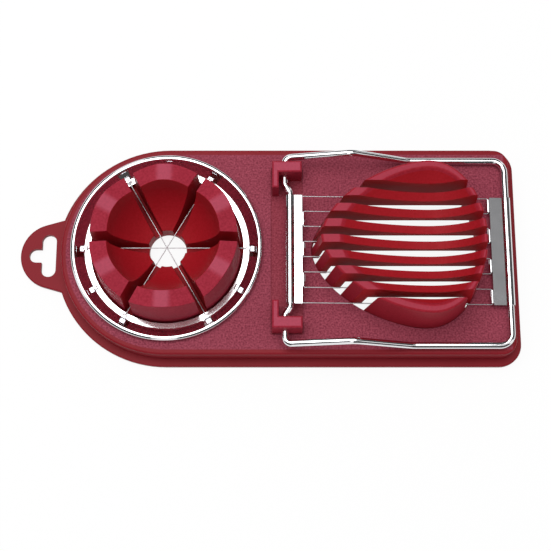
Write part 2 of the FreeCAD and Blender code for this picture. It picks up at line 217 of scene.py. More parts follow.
def mirror_cards(name, outlines, level):
    """Flat cards of one grey level, which only mirrors see."""
    bm = bmesh.new()
    for corners in outlines:
        bm.faces.new([bm.verts.new(corner) for corner in corners])
    cards = finish_mesh(name, bm)
    grey = bpy.data.materials.new(name)
    grey.use_nodes = True
    tree = grey.node_tree
    glow = add_node(tree, "ShaderNodeEmission", Strength=level)
    feed(tree, tree.nodes["Material Output"].inputs["Surface"], glow.outputs[0])
    cards.data.materials.append(grey)
    cards.visible_camera = False
    cards.visible_diffuse = False
    cards.visible_transmission = False
    cards.visible_shadow = False
    return cards


standing = mirror_cards("dark_cards", [standing_card(turn) for turn in CARD_TURNS], DARK_LEVEL)
hanging = mirror_cards("grey_card", [hanging_card()], GREY_LEVEL)
print("cards:", len(standing.data.polygons) + len(hanging.data.polygons))

# %% [markdown]
# ## The camera
# The picture is square and taken from high up, a little from the near side. Its focal length in
# pixels, its height angle and the point that it looks at were measured from the picture's own
# straight edges and circles.

# %% Camera
PICTURE_SIDE = 551
FOCAL_PIXELS = 1161.0
SENSOR_WIDTH = 36.0
CAMERA_ELEVATION = math.radians(75.5)
CAMERA_DISTANCE = 0.440
CAMERA_AIM = Vector((0.0026, -0.0072, 0.0))
camera_data = bpy.data.cameras.new("camera")
camera_data.sensor_width = SENSOR_WIDTH
camera_data.lens = SENSOR_WIDTH * FOCAL_PIXELS / PICTURE_SIDE
camera = bpy.data.objects.new("camera", camera_data)
back = Vector((0, -math.cos(CAMERA_ELEVATION), math.sin(CAMERA_ELEVATION)))
camera.location = CAMERA_AIM + back * CAMERA_DISTANCE
camera.rotation_euler = (-back).to_track_quat("-Z", "Y").to_euler()
scene.collection.objects.link(camera)
scene.camera = camera
print("lens:", round(camera_data.lens, 2), "mm")

# %% [markdown]
# ## Grain shared by the materials
# Eroded moulds leave a fine even grain on plastic, and plating has a fine ripple. Both also have a slow
# drift of tone or polish. Every material uses these at its own scale, so they are one node group. It
# puts out the grain, which also drives the bump, and the drift.

# %% Grain group
GRAIN_CONTRAST = (0.3, 0.7)
GRAIN_DETAIL = 1.5
DRIFT_DETAIL = 2.0


def moulded_grain():
    """Group: fine grain and slow drift, both from 0 to 1, on Object coordinates."""
    group = bpy.data.node_groups.new("moulded_grain", "ShaderNodeTree")
    for label in ("Grain Scale", "Drift Scale"):
        group.interface.new_socket(label, in_out="INPUT", socket_type="NodeSocketFloat")
    for label in ("Grain", "Drift"):
        group.interface.new_socket(label, in_out="OUTPUT", socket_type="NodeSocketFloat")
    asked = group.nodes.new("NodeGroupInput").outputs
    given = group.nodes.new("NodeGroupOutput").inputs
    place = group.nodes.new("ShaderNodeTexCoord").outputs["Object"]
    grain_scale, drift_scale = asked["Grain Scale"], asked["Drift Scale"]
    fine = add_node(group, "ShaderNodeTexNoise", Vector=place, Scale=grain_scale, Detail=GRAIN_DETAIL)
    slow = add_node(group, "ShaderNodeTexNoise", Vector=place, Scale=drift_scale, Detail=DRIFT_DETAIL)
    feed(group, given["Grain"], map_range(group, fine.outputs[0], *GRAIN_CONTRAST))
    feed(group, given["Drift"], slow.outputs[0])
    return group


GRAIN = moulded_grain()
print("grain group:", [item.name for item in GRAIN.interface.items_tree])

# %% [markdown]
# ## Steps that every material shares
# Each material starts from a Principled shader, whose constant values go on its own sockets. The grain
# then varies its colour and polish and lifts its surface a little.

# %% Material helpers


def start_material(name, **sockets):
    """A node material, its tree and its Principled shader, with plain values on the shader's sockets."""
    made = bpy.data.materials.new(name)
    made.use_nodes = True
    shader = made.node_tree.nodes["Principled BSDF"]
    for label, value in sockets.items():
        shader.inputs[label.replace("_", " ")].default_value = value
    return made, made.node_tree, shader


def grained(tree, grain_scale, drift_scale):
    """The shared grain in a material, as its two outputs."""
    node = tree.nodes.new("ShaderNodeGroup")
    node.node_tree = GRAIN
    node.inputs["Grain Scale"].default_value = grain_scale
    node.inputs["Drift Scale"].default_value = drift_scale
    return node.outputs["Grain"], node.outputs["Drift"]


def mix_grain(tree, grain, drift, grain_share):
    """Grain and drift in one value, each with its share."""
    fine = calculate(tree, "MULTIPLY", grain, grain_share)
    slow = calculate(tree, "MULTIPLY", drift, 1 - grain_share)
    return calculate(tree, "ADD", fine, slow)


def dress(tree, shader, colour, roughness):
    """Feeds a varying colour and roughness to the shader."""
    feed(tree, shader.inputs["Base Color"], colour)
    feed(tree, shader.inputs["Roughness"], roughness)


def raise_surface(tree, shader, height, strength, depth):
    """Feeds the shader a bump, whose depth is in millimetres."""
    bump = add_node(tree, "ShaderNodeBump", Strength=strength, Distance=depth * MM, Height=height)
    feed(tree, shader.inputs["Normal"], bump.outputs[0])


print("material helpers ready")

# %% [markdown]
# ## The base's plastic
# The base is a muted burgundy with a grained top that stops short of the edge, where a smooth border
# runs round the plate. The border could be a face of its own, but its edge is soft, so it is found
# from the distance to the plate's edge. That is simple to work out, because the plate is a round end
# about the cup's axis and a rectangle.

# %% Base plastic
PLASTIC_IOR = 1.45
CUP_X = -37.85
PLATE_HALF = 39.5
PLATE_RIGHT = 90.95
PLATE_TOP = 10.0
BORDER = 1.7
BORDER_FADE = 0.4
TOP_EDGE_FADE = (0.8, 0.5)
BASE_SCALES = (1500.0, 60.0)
BASE_GRAIN_SHARE = 0.75
FIELD_TONES = ((0.15, 0.015, 0.032, 1), (0.39, 0.074, 0.112, 1))
BORDER_TONES = ((0.2, 0.008, 0.014, 1), (0.25, 0.013, 0.022, 1))
BASE_ROUGHNESS = (0.4, 0.62)


def plate_field(tree):
    """1 on the plate's grained field, 0 on its border and everywhere below the top."""
    spot = tree.nodes.new("ShaderNodeTexCoord").outputs["Object"]
    x, y, z = add_node(tree, "ShaderNodeSeparateXYZ", Vector=spot).outputs
    past_axis = calculate(tree, "MAXIMUM", calculate(tree, "SUBTRACT", CUP_X * MM, x), 0.0)
    along = calculate(tree, "MULTIPLY", past_axis, past_axis)
    across = calculate(tree, "MULTIPLY", y, y)
    distance = calculate(tree, "SQRT", calculate(tree, "ADD", along, across))
    side_room = calculate(tree, "SUBTRACT", PLATE_HALF * MM, distance)
    room = calculate(tree, "MINIMUM", side_room, calculate(tree, "SUBTRACT", PLATE_RIGHT * MM, x))
    inside = map_range(tree, room, BORDER * MM, (BORDER + BORDER_FADE) * MM)
    on_top = map_range(tree, z, *[(PLATE_TOP - depth) * MM for depth in TOP_EDGE_FADE])
    return calculate(tree, "MULTIPLY", inside, on_top)


def burgundy_base():
    """Muted burgundy: grained on the plate's field, smooth and deeper on its border and sides."""
    made, tree, shader = start_material("burgundy_base", IOR=PLASTIC_IOR, Specular_IOR_Level=0.12)
    grain, drift = grained(tree, *BASE_SCALES)
    field = plate_field(tree)
    matte = blend_colours(tree, mix_grain(tree, grain, drift, BASE_GRAIN_SHARE), *FIELD_TONES)
    smooth = blend_colours(tree, drift, *BORDER_TONES)
    rough = map_range(tree, field, low=BASE_ROUGHNESS[0], high=BASE_ROUGHNESS[1])
    dress(tree, shader, blend_colours(tree, field, smooth, matte), rough)
    raise_surface(tree, shader, calculate(tree, "MULTIPLY", grain, field), strength=0.25, depth=0.06)
    return made


BASE_PLASTIC = burgundy_base()
print("base plastic:", len(BASE_PLASTIC.node_tree.nodes), "nodes")

# %% [markdown]
# ## The inserts' plastic
# The cradle, cup and hinge blocks are a clearer red, grained on their rims and outsides and smooth where
# the egg lies. Level faces get a pale sheen painted into their colour, a painted highlight that is found
# from the direction that they face.
# The cradle's cut faces are the same plastic in a slightly lighter tone, which is painted light: they lie
# deep in the slots, where little light reaches them.

# %% Insert plastics
# Painted highlight: the paler red that level faces are tinted towards.
PAINTED_SHEEN_RED = (0.52, 0.12, 0.19, 1)
LEVEL_RANGE = (0.955, 0.997)
INSERT_SCALES = (1300.0, 90.0)
INSERT_GRAIN_SHARE = 0.6
INSERT_ROUGHNESS_DRIFT = 0.04


def facing_up(tree):
    """1 on faces that look straight up, 0 on slanted and upright ones."""
    normal = tree.nodes.new("ShaderNodeTexCoord").outputs["Normal"]
    parts = add_node(tree, "ShaderNodeSeparateXYZ", Vector=normal)
    return map_range(tree, parts.outputs[2], *LEVEL_RANGE)


def red_insert(name, tones, sheen, roughness, bump):
    """Clear red of the inserts, between two tones of its grain, with a paler sheen painted on level faces
    as a highlight.
    """
    made, tree, shader = start_material(name, IOR=PLASTIC_IOR, Specular_IOR_Level=0.1)
    grain, drift = grained(tree, *INSERT_SCALES)
    red = blend_colours(tree, mix_grain(tree, grain, drift, INSERT_GRAIN_SHARE), *tones)
    # Painted sheen: faces that look up are tinted paler, a highlight painted into the colour.
    share = calculate(tree, "MULTIPLY", facing_up(tree), sheen)
    smoothest, roughest = roughness - INSERT_ROUGHNESS_DRIFT, roughness + INSERT_ROUGHNESS_DRIFT
    rough = map_range(tree, drift, low=smoothest, high=roughest)
    dress(tree, shader, blend_colours(tree, share, red, PAINTED_SHEEN_RED), rough)
    raise_surface(tree, shader, grain, strength=bump, depth=0.05)
    return made


SMOOTH_TONES = ((0.28, 0.006, 0.01, 1), (0.35, 0.01, 0.018, 1))
GRAINED_TONES = ((0.24, 0.012, 0.026, 1), (0.38, 0.028, 0.052, 1))
RIM_TONES = ((0.25, 0.009, 0.018, 1), (0.36, 0.018, 0.034, 1))
# Painted light: the cut faces deep in the slots get a lighter copy of the smooth red.
CUT_PAINTED_LIGHT_TONES = ((0.36, 0.006, 0.01, 1), (0.42, 0.01, 0.016, 1))
SMOOTH_RED = red_insert("smooth_red", SMOOTH_TONES, sheen=0.0, roughness=0.46, bump=0.03)
# Their sheen values set how much painted highlight the level faces get.
GRAINED_RED = red_insert("grained_red", GRAINED_TONES, sheen=0.36, roughness=0.58, bump=0.2)
RIM_RED = red_insert("rim_red", RIM_TONES, sheen=0.2, roughness=0.52, bump=0.1)
CUT_RED = red_insert("cut_red_painted_light", CUT_PAINTED_LIGHT_TONES, sheen=0.0, roughness=0.6, bump=0.03)
print("insert plastics:", [made.name for made in (SMOOTH_RED, GRAINED_RED, RIM_RED, CUT_RED)])

# %% [markdown]
# ## Metals
# The frame, combs and ring are bright plated steel. Plating is never quite even, so its polish drifts
# a little and has a faint ripple. The thin cutting wires are drawn steel, which is darker and duller.

# %% Metal materials
PLATING_SCALES = (2600.0, 140.0)
DARKEST_TINT = 0.9
GRAIN_IN_RIPPLE = 0.05


def plated(name, tint, sharpest, dullest, ripple):
    """Plated steel whose polish drifts between two roughnesses."""
    made, tree, shader = start_material(name, Metallic=1.0)
    grain, drift = grained(tree, *PLATING_SCALES)
    dark = tuple(DARKEST_TINT * part for part in tint)
    rough = map_range(tree, drift, low=sharpest, high=dullest)
    dress(tree, shader, blend_colours(tree, drift, dark + (1,), tint + (1,)), rough)
    uneven = calculate(tree, "ADD", drift, calculate(tree, "MULTIPLY", grain, GRAIN_IN_RIPPLE))
    raise_surface(tree, shader, uneven, strength=ripple, depth=0.05)
    return made


CHROME = plated("bright_chrome", (0.84, 0.84, 0.86), sharpest=0.05, dullest=0.14, ripple=0.15)
WIRE_STEEL = plated("drawn_wire", (0.52, 0.51, 0.53), sharpest=0.24, dullest=0.4, ripple=0.05)
print("metals:", CHROME.name, WIRE_STEEL.name)

# %% [markdown]
# ## Pieces that the frame already has right
# The base, the hinge blocks, the bent frame, the combs and the wires have their real shape in the
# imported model, so they only get a finish.

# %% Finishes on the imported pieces
FINISHES = {
    "base_shell": BASE_PLASTIC,
    "hinge_block_far": GRAINED_RED,
    "hinge_block_near": GRAINED_RED,
    "slicing_frame": CHROME,
    "hinge_comb": CHROME,
    "handle_comb": CHROME,
    "slicing_wire": WIRE_STEEL,
    "wedge_wire_1": WIRE_STEEL,
    "wedge_wire_2": WIRE_STEEL,
    "wedge_wire_3": WIRE_STEEL,
}
for node_name, finish in FINISHES.items():
    nodes[node_name].data.materials.clear()
    nodes[node_name].data.materials.append(finish)
print("finished", len(FINISHES), "packed pieces")

# %% [markdown]
# ## The top of a petal
# Six petals stand on a round floor and leave a round bowl between them. Each has two top facets that
# fall away from a level ridge. The top is one skin from the hole in the floor, up the bowl and over
# the facets. A flat grid is bent to it, because its rows can then follow the bowl's rim exactly.

# %% Petal surface
PETALS = 6
BOWL_RADIUS = 20.6
BOWL_CENTRE_Z = 28.0
HOLE_RADIUS = 7.0
PETAL_TOP = 27.5
PETAL_TOP_RADIUS = 26.8
SLOT_HALF = 1.75
FACET_SLOPE = math.tan(math.radians(18.0))
RIDGE_FLAT = 1.9
RIDGE_SOFTNESS = 0.5
RIM_STEPS = 6


def facet_height(y):
    """Height of a petal's top beside its ridge."""
    fall = max(abs(y) - RIDGE_FLAT, 0)
    return PETAL_TOP - FACET_SLOPE * (math.hypot(fall, RIDGE_SOFTNESS) - RIDGE_SOFTNESS)


def petal_point(across, radius):
    """Place on a petal, from -1 to 1 across it, at a distance from the cup's axis."""
    half_angle = math.pi / PETALS - math.asin(SLOT_HALF / radius)
    return Vector((radius * math.cos(across * half_angle), radius * math.sin(across * half_angle), 0))


def bowl_rim(across):
    """Distance from the axis at which the bowl meets the facets, found by coming closer in steps."""
    radius = BOWL_RADIUS
    for _ in range(RIM_STEPS):
        drop = BOWL_CENTRE_Z - facet_height(petal_point(across, radius).y)
        radius = math.sqrt(BOWL_RADIUS ** 2 - drop ** 2)
    return radius


print("bowl's rim:", [round(bowl_rim(across), 2) for across in (0, 0.5, 1)], "mm, from ridge to slot")

# %% [markdown]
# ## One petal
# The grid's border is pulled down to the floor, which makes the walls. Towards the floor the outer wall
# spreads a little and the slots get narrower, as a mould needs. The top's edges are then bevelled,
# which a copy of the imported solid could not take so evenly.

# %% Petal
PETAL_FOOT_RADIUS = 27.8
PETAL_SINK = 4.2
FOOT_SLOT_HALF = 1.4
PETAL_COLUMNS = 24
PETAL_ROWS = 20
BOWL_SHARE = 0.8
PETAL_ROUND = 0.8
SEAM = 0.3
TOUCH = 0.01
BOWL_SLOT, OUTSIDE_SLOT = 0, 1
SLOT_SIDE = Vector((math.sin(math.pi / PETALS), -math.cos(math.pi / PETALS)))


def from_axis(part):
    """Distance of a face's middle from the cup's axis."""
    return part.calc_center_median().to_2d().length


def petal_top(bm):
    """Bends a grid to the bowl and the facets, and returns the points on the bowl's rim."""
    bmesh.ops.create_grid(bm, x_segments=PETAL_COLUMNS, y_segments=PETAL_ROWS, size=1)
    rim_row = set()
    for vert in bm.verts:
        across, share = vert.co.x, (vert.co.y + 1) / 2
        rim = bowl_rim(across)
        if share < BOWL_SHARE + TOUCH:
            radius = HOLE_RADIUS + (rim - HOLE_RADIUS) * share / BOWL_SHARE
            height = BOWL_CENTRE_Z - math.sqrt(BOWL_RADIUS ** 2 - radius ** 2)
        else:
            radius = rim + (PETAL_TOP_RADIUS - rim) * (share - BOWL_SHARE) / (1 - BOWL_SHARE)
            height = facet_height(petal_point(across, radius).y)
        if abs(share - BOWL_SHARE) < TOUCH:
            rim_row.add(vert)
        vert.co = petal_point(across, radius) + Vector((0, 0, height))
    for face in bm.faces:
        face.material_index = BOWL_SLOT if from_axis(face) < BOWL_RADIUS - SEAM else OUTSIDE_SLOT
    return rim_row


def sink_wall(vert):
    """Moves a pulled border point down to the floor, out on the outer wall and in beside a slot."""
    outer = vert.co.to_2d().length > PETAL_TOP_RADIUS - TOUCH
    beside_slot = SLOT_SIDE.dot(Vector((vert.co.x, abs(vert.co.y)))) < SLOT_HALF + TOUCH
    reach = PETAL_FOOT_RADIUS / PETAL_TOP_RADIUS if outer else 1.0
    vert.co = Vector((vert.co.x * reach, vert.co.y * reach, PETAL_SINK))
    if beside_slot:
        spread = (SLOT_HALF - FOOT_SLOT_HALF) * SLOT_SIDE
        vert.co -= Vector((spread.x, math.copysign(spread.y, -vert.co.y), 0))


def petal():
    """One bevelled petal about the +X axis, as a bmesh in millimetres."""
    bm = bmesh.new()
    rim_row = petal_top(bm)
    crease = [edge for edge in bm.edges if rim_row.issuperset(edge.verts)]
    border = [edge for edge in bm.edges if edge.is_boundary]
    corners = [vert for vert in bm.verts if len(vert.link_edges) == 2]
    pulled = bmesh.ops.extrude_edge_only(bm, edges=border)["geom"]
    for part in pulled:
        if isinstance(part, bmesh.types.BMVert):
            sink_wall(part)
    for part in pulled:
        if isinstance(part, bmesh.types.BMFace):
            part.material_index = OUTSIDE_SLOT if from_axis(part) > PETAL_TOP_RADIUS - SEAM else BOWL_SLOT
    uprights = [edge for vert in corners for edge in vert.link_edges
                if edge.other_vert(vert).co.z < PETAL_SINK + TOUCH]
    bmesh.ops.recalc_face_normals(bm, faces=bm.faces)
    bmesh.ops.bevel(bm, geom=border + uprights + crease, offset=PETAL_ROUND, segments=3, profile=0.5,
                    affect="EDGES", material=-1, clamp_overlap=True)
    return bm


one_petal = petal()
print("one petal:", len(one_petal.faces), "faces")

# %% [markdown]
# ## The petal cup
# The floor, the well round it and the flange under the plate are one turned profile. The six petals
# are turned copies of the one above. Shading is smooth, with normals weighted by the size of the
# faces, so the wide facets stay flat and only their bevels catch the light.

# %% Petal cup
CUP_Y = 1.0
CUP_FOOT = 2.0
FLOOR_TOP = 4.5
WELL_RADIUS = 33.8
CUP_RADIUS = 35.4
FLANGE_RADIUS = 36.0
SEAT_TOP = 7.8
SEAT_BOTTOM = 6.2
CUP_STEPS = 96
CUP_PROFILE = [
    (HOLE_RADIUS, CUP_FOOT), (HOLE_RADIUS, FLOOR_TOP),
    (WELL_RADIUS, FLOOR_TOP), (WELL_RADIUS, SEAT_TOP),
    (FLANGE_RADIUS, SEAT_TOP), (FLANGE_RADIUS, SEAT_BOTTOM),
    (CUP_RADIUS, SEAT_BOTTOM), (CUP_RADIUS, CUP_FOOT),
]


def add_copy(bm, source, matrix):
    """Adds a turned or moved copy of one bmesh to another."""
    mesh = bpy.data.meshes.new("copy")
    source.to_mesh(mesh)
    mesh.transform(matrix)
    bm.from_mesh(mesh)
    bpy.data.meshes.remove(mesh)


def turned_profile(bm, points, steps):
    """Turns a closed profile of (radius, height) points about the Z axis."""
    verts = [bm.verts.new((radius, 0, height)) for radius, height in points]
    edges = [bm.edges.new((verts[i - 1], verts[i])) for i in range(len(verts))]
    bmesh.ops.spin(bm, geom=verts + edges, cent=(0, 0, 0), axis=(0, 0, 1), angle=2 * math.pi,
                   steps=steps, use_merge=True)


def soft_piece(name, bm, materials, sharp_degrees):
    """Scales a finished bmesh to metres and gives it smooth shading with even normals."""
    bmesh.ops.scale(bm, verts=bm.verts, vec=(MM, MM, MM))
    for face in bm.faces:
        face.smooth = True
    made = finish_mesh(name, bm)
    made.data.set_sharp_from_angle(angle=math.radians(sharp_degrees))
    for finish in materials:
        made.data.materials.append(finish)
    even = made.modifiers.new("even_normals", "WEIGHTED_NORMAL")
    even.keep_sharp = True
    return made


cup_bm = bmesh.new()
turned_profile(cup_bm, CUP_PROFILE, CUP_STEPS)
bmesh.ops.recalc_face_normals(cup_bm, faces=cup_bm.faces)
for i in range(PETALS):
    add_copy(cup_bm, one_petal, Matrix.Rotation((i + 0.5) * 2 * math.pi / PETALS, 4, "Z"))
one_petal.free()
bmesh.ops.translate(cup_bm, verts=cup_bm.verts, vec=(CUP_X, CUP_Y, 0))
petal_cup = soft_piece("petal_cup", cup_bm, [SMOOTH_RED, GRAINED_RED], sharp_degrees=50)
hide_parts("wedge_cup")
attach(petal_cup, "base")
print("petal cup:", len(petal_cup.data.polygons), "faces")

# %% [markdown]
# ## The cradle's egg shape
# Seen from above the cradle is an egg: half an ellipse at the tail and a more pointed curve, with a
# power below 2, at the nose. Its bowl is cut by a turned egg, whose axis lies above the rim and which
# is squashed to reach down to the bowl's depth.

# %% Egg outlines
CRADLE_X = 58.15
CRADLE_NOSE = 39.2
CRADLE_TAIL = 20.2
CRADLE_HALF = 28.3
CRADLE_TOP = 30.0
NOSE_POWER = 1.7
RIM_BAND = 2.6
BOWL_DEPTH = 10.0
BOWL_LIFT = 10.0
BOWL_FLATNESS = math.sqrt((BOWL_DEPTH + BOWL_LIFT) ** 2 - BOWL_LIFT ** 2) / (CRADLE_HALF - RIM_BAND)
BOWL_HALF = (BOWL_DEPTH + BOWL_LIFT) / BOWL_FLATNESS
BOWL_GROW = BOWL_HALF - CRADLE_HALF
RING_POINTS = 144
HALVINGS = 30


def egg_ring(grow, grow_nose, height):
    """One closed egg-shaped ring of points."""
    points = []
    for step in range(RING_POINTS):
        angle = 2 * math.pi * step / RING_POINTS
        across, beside = math.cos(angle), math.sin(angle)
        if across >= 0:
            x, y = (CRADLE_TAIL + grow) * across, (CRADLE_HALF + grow) * beside
        else:
            power = 2 / NOSE_POWER
            x = -(CRADLE_NOSE + grow_nose) * abs(across) ** power
            y = (CRADLE_HALF + grow) * math.copysign(abs(beside) ** power, beside)
        points.append(Vector((x, y, height)))
    return points


def egg_half(x):
    """Half the width of the turned egg that shapes the bowl, at a place along it."""
    if x >= 0:
        return BOWL_HALF * math.sqrt(max(1 - (x / (CRADLE_TAIL + BOWL_GROW)) ** 2, 0))
    return BOWL_HALF * max(1 - (-x / (CRADLE_NOSE + BOWL_GROW)) ** NOSE_POWER, 0) ** (1 / NOSE_POWER)


def bowl_height(x, y):
    """Height of the bowl, which passes the rim's level at the bowl's edge."""
    return CRADLE_TOP + BOWL_LIFT - BOWL_FLATNESS * math.sqrt(max(egg_half(x) ** 2 - y ** 2, 0))


def bowl_edge():
    """The ring at which the bowl reaches the rim, found by halving the way from the middle."""
    points = egg_ring(0, 0, CRADLE_TOP)
    for i, point in enumerate(points):
        inside, outside = 0.0, 1.0
        for _ in range(HALVINGS):
            share = (inside + outside) / 2
            if bowl_height(share * point.x, share * point.y) < CRADLE_TOP:
                inside = share
            else:
                outside = share
        points[i] = Vector((inside * point.x, inside * point.y, CRADLE_TOP))
    return points


print("bowl's lowest point:", round(bowl_height(0, 0), 2), "mm")

# %% [markdown]
# ## Rings of the cradle's skin
# The skin is drawn ring by ring: out of the bowl, over a softened edge and a rounded rim, and down the
# drafted outside. Rings keep clean rows of faces, which booleans on a solid would not.

# %% Cradle rings
CRADLE_FOOT = 7.8
NOSE_DRAFT = 3.0
SIDE_DRAFT = 1.4
RIM_ROUND = 0.9
EDGE_SOFTNESS = 0.015
EDGE_DROP = 0.06
BOWL_SHARES = (0.12, 0.25, 0.38, 0.5, 0.62, 0.73, 0.82, 0.9, 0.96)
RIM_TURNS = [math.radians(degrees) for degrees in (90, 67, 45, 22, 0)]
OUTSIDE_LEVELS = (25.0, 20.0, 15.0, PLATE_TOP, CRADLE_FOOT)


def bowl_rings():
    """Rings from the middle of the bowl up to its softened edge."""
    edge = bowl_edge()
    rings = []
    for share in BOWL_SHARES + (1 - EDGE_SOFTNESS,):
        places = [share * point for point in edge]
        rings.append([Vector((place.x, place.y, bowl_height(place.x, place.y))) for place in places])
    drop = Vector((0, 0, EDGE_DROP))
    grow = 1 + EDGE_SOFTNESS
    rounded = [point.lerp(inner, 0.5) - drop for point, inner in zip(edge, rings[-1])]
    level = [Vector((grow * point.x, grow * point.y, CRADLE_TOP)) for point in edge]
    return rings + [rounded, level]


def wall_ring(inset, height):
    """A ring on the drafted outside, or evenly inside it."""
    fall = min((CRADLE_TOP - height) / (CRADLE_TOP - PLATE_TOP), 1.0)
    return egg_ring(SIDE_DRAFT * fall - inset, NOSE_DRAFT * fall - inset, height)


def outside_rings():
    """Rings round the rim's outer edge and down the outside."""
    rings = []
    for turn in RIM_TURNS:
        inset = RIM_ROUND * (1 - math.cos(turn))
        rings.append(wall_ring(inset, CRADLE_TOP - RIM_ROUND * (1 - math.sin(turn))))
    return rings + [wall_ring(0, height) for height in OUTSIDE_LEVELS]


print("rings:", len(bowl_rings()), "in the bowl,", len(outside_rings()), "outside")

# %% [markdown]
# ## The cradle's two skins
# The ribs have a flat bottom high above the table, so their skin goes back up inside to it. The caps on
# both sides are closed at the foot, so they come from a second skin. A skin is lofted by extruding one
# loop of edges from ring to ring.

# %% Cradle skins
RIB_BOTTOM = 18.0
WALL_THICK = 2.4
INSIDE_LEVELS = (CRADLE_FOOT, PLATE_TOP, 14.0)
BOTTOM_SHARES = (0.75, 0.5, 0.25)
RIM_SLOT, CUT_SLOT = 1, 2


def loft(bm, rings, slot_of_row):
    """Joins rings of points by extruding one loop through all of them, in an empty bmesh."""
    verts = bmesh.ops.create_circle(bm, segments=len(rings[0]), radius=1)["verts"]
    for vert, point in zip(verts, rings[0]):
        vert.co = point
    loop = bm.edges[:]
    first_loop = loop
    for row, ring in enumerate(rings[1:]):
        index_at = {tuple(vert.co): i for i, vert in enumerate(verts)}
        geom = bmesh.ops.extrude_edge_only(bm, edges=loop)["geom"]
        moved = [part for part in geom if isinstance(part, bmesh.types.BMVert)]
        loop = [part for part in geom if isinstance(part, bmesh.types.BMEdge)]
        for part in geom:
            if isinstance(part, bmesh.types.BMFace):
                part.material_index = slot_of_row(row)
        verts = sorted(moved, key=lambda vert: index_at[tuple(vert.co)])
        for vert, point in zip(verts, ring):
            vert.co = point
    return first_loop, loop


def cradle_body(bottom):
    """The whole cradle as one closed skin, hollow up to a level, before it is cut."""
    rings = bowl_rings() + outside_rings()
    if bottom > CRADLE_FOOT:
        rings += [wall_ring(WALL_THICK, height) for height in INSIDE_LEVELS + (bottom,)]
    brink = rings[-1]
    for share in BOTTOM_SHARES:
        rings.append([Vector((share * point.x, share * point.y, bottom)) for point in brink])
    bm = bmesh.new()
    bowl_rows = len(BOWL_SHARES) - 1
    for loop in loft(bm, rings, lambda row: BOWL_SLOT if row < bowl_rows else RIM_SLOT):
        bmesh.ops.edgeloop_fill(bm, edges=loop)
    bmesh.ops.recalc_face_normals(bm, faces=bm.faces)
    return bm


ribbed = cradle_body(RIB_BOTTOM)
capped = cradle_body(CRADLE_FOOT)
print("skins:", len(ribbed.faces), "and", len(capped.faces), "faces")

# %% [markdown]
# ## Slices
# The wires pass between two caps and seven ribs. Each of these is a slice of a skin between two
# planes. A cut is closed with one face, and its upper edges are bevelled, because moulded ribs have no
# sharp edges.

# %% Cradle slices
SLICE_PITCH = 5.8
SLICER_SHIFT = -1.1
SLICE_SLOT = 2.9
WIRES = 8
SLICE_ROUND = 0.32
BEVEL_FROM = PLATE_TOP + 0.5
CUT_TOUCH = 1e-4
CUT_REACH = 1e-5


def on_a_cut(edge, levels):
    """Whether an edge lies in one of the cutting planes, above the plate."""
    ends = [vert.co for vert in edge.verts]
    in_plane = any(all(abs(end.y - level) < CUT_TOUCH for end in ends) for level in levels)
    return in_plane and min(end.z for end in ends) > BEVEL_FROM


def cut_slice(body, low, high):
    """A closed slice of the body between two planes, with bevelled upper edges."""
    bm = body.copy()
    planes = [(level, normal) for level, normal in ((low, -1), (high, 1)) if level is not None]
    for level, normal in planes:
        parts = bm.verts[:] + bm.edges[:] + bm.faces[:]
        made = bmesh.ops.bisect_plane(bm, geom=parts, dist=CUT_REACH, plane_co=(0, level, 0),
                                      plane_no=(0, normal, 0), clear_outer=True)
        edges = [part for part in made["geom_cut"] if isinstance(part, bmesh.types.BMEdge)]
        # Cut faces take the cut red, a lighter tone painted as light for the deep slots.
        bmesh.ops.edgeloop_fill(bm, edges=edges, mat_nr=CUT_SLOT)
    bmesh.ops.recalc_face_normals(bm, faces=bm.faces)
    levels = [level for level, normal in planes]
    sharp = [edge for edge in bm.edges if on_a_cut(edge, levels)]
    bmesh.ops.bevel(bm, geom=sharp, offset=SLICE_ROUND, segments=2, profile=0.5, affect="EDGES",
                    material=-1, clamp_overlap=True)
    return bm


wire_places = [(i - (WIRES - 1) / 2) * SLICE_PITCH + SLICER_SHIFT for i in range(WIRES)]
lows = [None] + [place + SLICE_SLOT / 2 for place in wire_places]
highs = [place - SLICE_SLOT / 2 for place in wire_places] + [None]
cradle_bm = bmesh.new()
for low, high in zip(lows, highs):
    one_slice = cut_slice(capped if None in (low, high) else ribbed, low, high)
    add_copy(cradle_bm, one_slice, Matrix.Identity(4))
    one_slice.free()
ribbed.free()
capped.free()
print("slices:", len(lows), "with", len(cradle_bm.faces), "faces")

# %% [markdown]
# ## The ribbed cradle
# A flange under the plate joins the slices and holds the cradle in its opening. It is a loft too, of
# four rings, whose last one closes on the first.

# %% Flange and cradle
FLANGE_WIDTH = 3.0
FLANGE_OVERLAP = 0.3
FLANGE_SECTION = [
    (-FLANGE_OVERLAP, CRADLE_FOOT), (FLANGE_WIDTH, CRADLE_FOOT), (FLANGE_WIDTH, SEAT_BOTTOM),
    (-FLANGE_OVERLAP, SEAT_BOTTOM), (-FLANGE_OVERLAP, CRADLE_FOOT),
]
flange_rings = [egg_ring(SIDE_DRAFT + grow, NOSE_DRAFT + grow, height) for grow, height in FLANGE_SECTION]
flange_bm = bmesh.new()
loft(flange_bm, flange_rings, lambda row: BOWL_SLOT)
bmesh.ops.remove_doubles(flange_bm, verts=flange_bm.verts, dist=CUT_TOUCH)
bmesh.ops.recalc_face_normals(flange_bm, faces=flange_bm.faces)
add_copy(cradle_bm, flange_bm, Matrix.Identity(4))
flange_bm.free()
bmesh.ops.translate(cradle_bm, verts=cradle_bm.verts, vec=(CRADLE_X, 0, 0))
ribbed_cradle = soft_piece("ribbed_cradle", cradle_bm, [SMOOTH_RED, RIM_RED, CUT_RED], sharp_degrees=40)
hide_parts("egg_cradle")
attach(ribbed_cradle, "base")
print("ribbed cradle:", len(ribbed_cradle.data.polygons), "faces")

